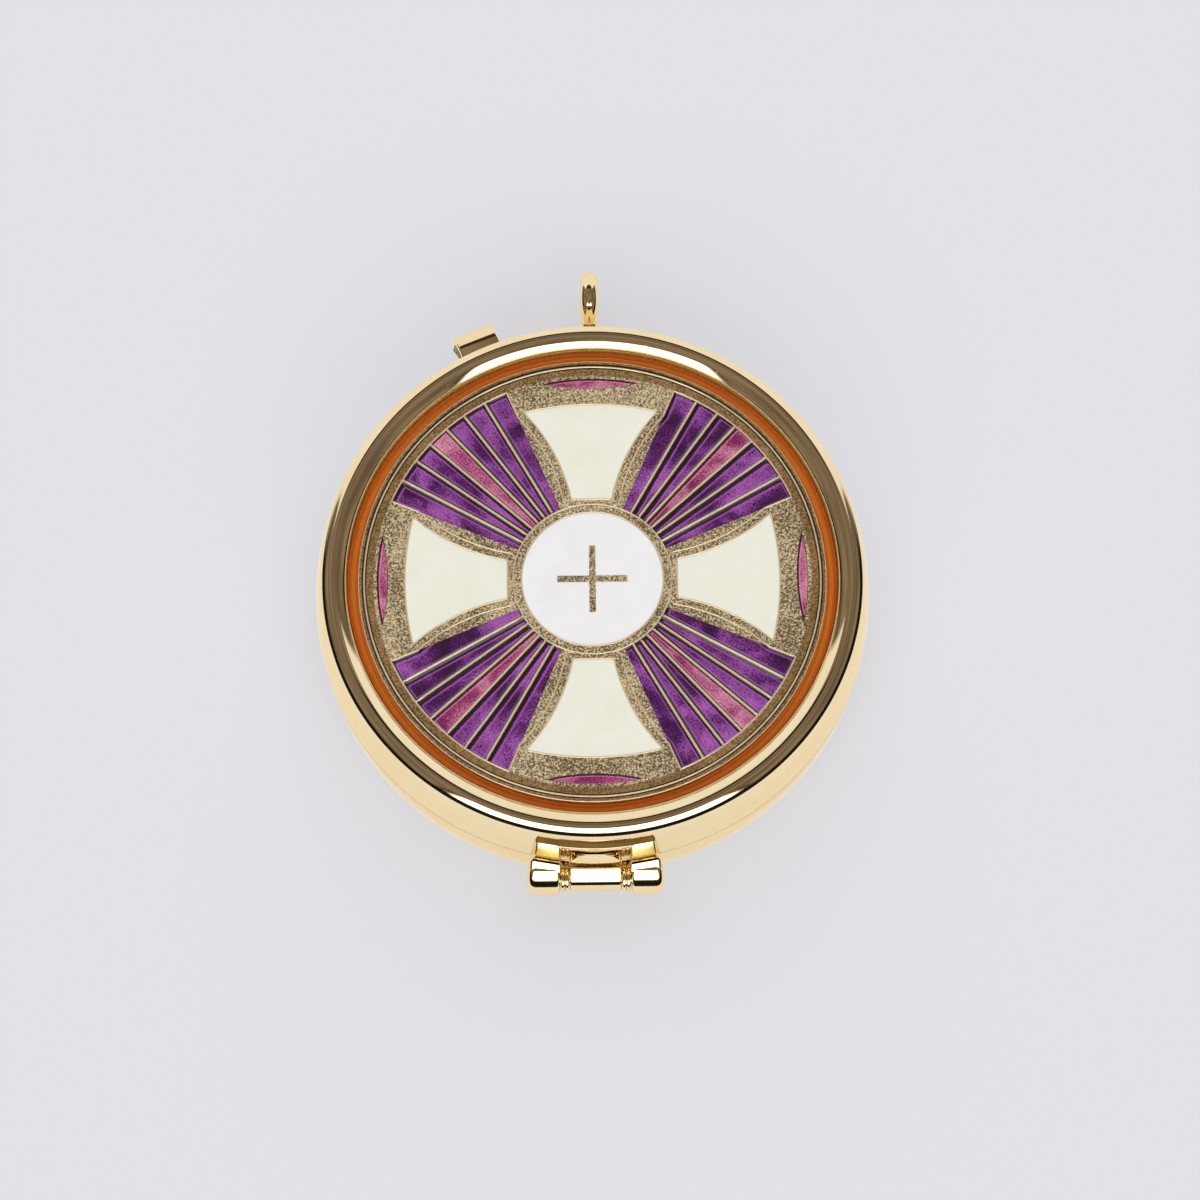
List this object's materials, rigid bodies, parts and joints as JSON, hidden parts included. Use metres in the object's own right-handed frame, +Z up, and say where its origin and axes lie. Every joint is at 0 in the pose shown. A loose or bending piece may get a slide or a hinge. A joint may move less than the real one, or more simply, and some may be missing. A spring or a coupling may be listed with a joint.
{
  "type": "pyx",
  "caption": "Round shallow gilt case with a hinged lid, an enamelled medallion sunk in the lid, a thumb catch and a fixed hanging ring.",
  "frame": {"origin": "centre of the case's flat underside, which rests on the table", "axes": "+Z up through the lid, +Y towards the hanging ring, so the hinge is at -Y and its axis lies along X"},
  "size_m": [0.054, 0.0655, 0.013],
  "materials": {
    "gilt_case": "mirror-polished gold plate on brass",
    "gilt_inside": "polished gold plate on brass",
    "gilt_fittings": "polished gold plate on brass",
    "antique_gilt": "stippled gold plate on die-struck brass",
    "white_enamel": "glossy opaque enamel",
    "cream_enamel": "glossy opaque enamel",
    "purple_enamel": "glossy translucent enamel",
    "magenta_enamel": "glossy translucent enamel"
  },
  "bodies": {
    "base": {"base_cup": "gilt_case", "base_collar": "gilt_inside", "base_hinge_leaf": "gilt_fittings", "hinge_pin": "gilt_fittings", "hinge_washer_left": "gilt_fittings", "hinge_washer_right": "gilt_fittings", "hanging_ring": "gilt_fittings", "ring_foot": "gilt_fittings", "catch_stud": "gilt_fittings"},
    "lid": {"lid_shell": "gilt_case", "lid_hinge_leaf": "gilt_fittings", "thumb_catch": "gilt_fittings", "medallion_plate": "antique_gilt", "enamel_white": "white_enamel", "enamel_cream": "cream_enamel", "enamel_purple": "purple_enamel", "enamel_magenta": "magenta_enamel"}
  },
  "joints": [
    {"name": "lid_hinge", "type": "hinge", "parent": "base", "child": "lid", "pos_m": [0, -0.02875, 0.0065], "axis": [1, 0, 0], "range_deg": [0, 175]}
  ]
}
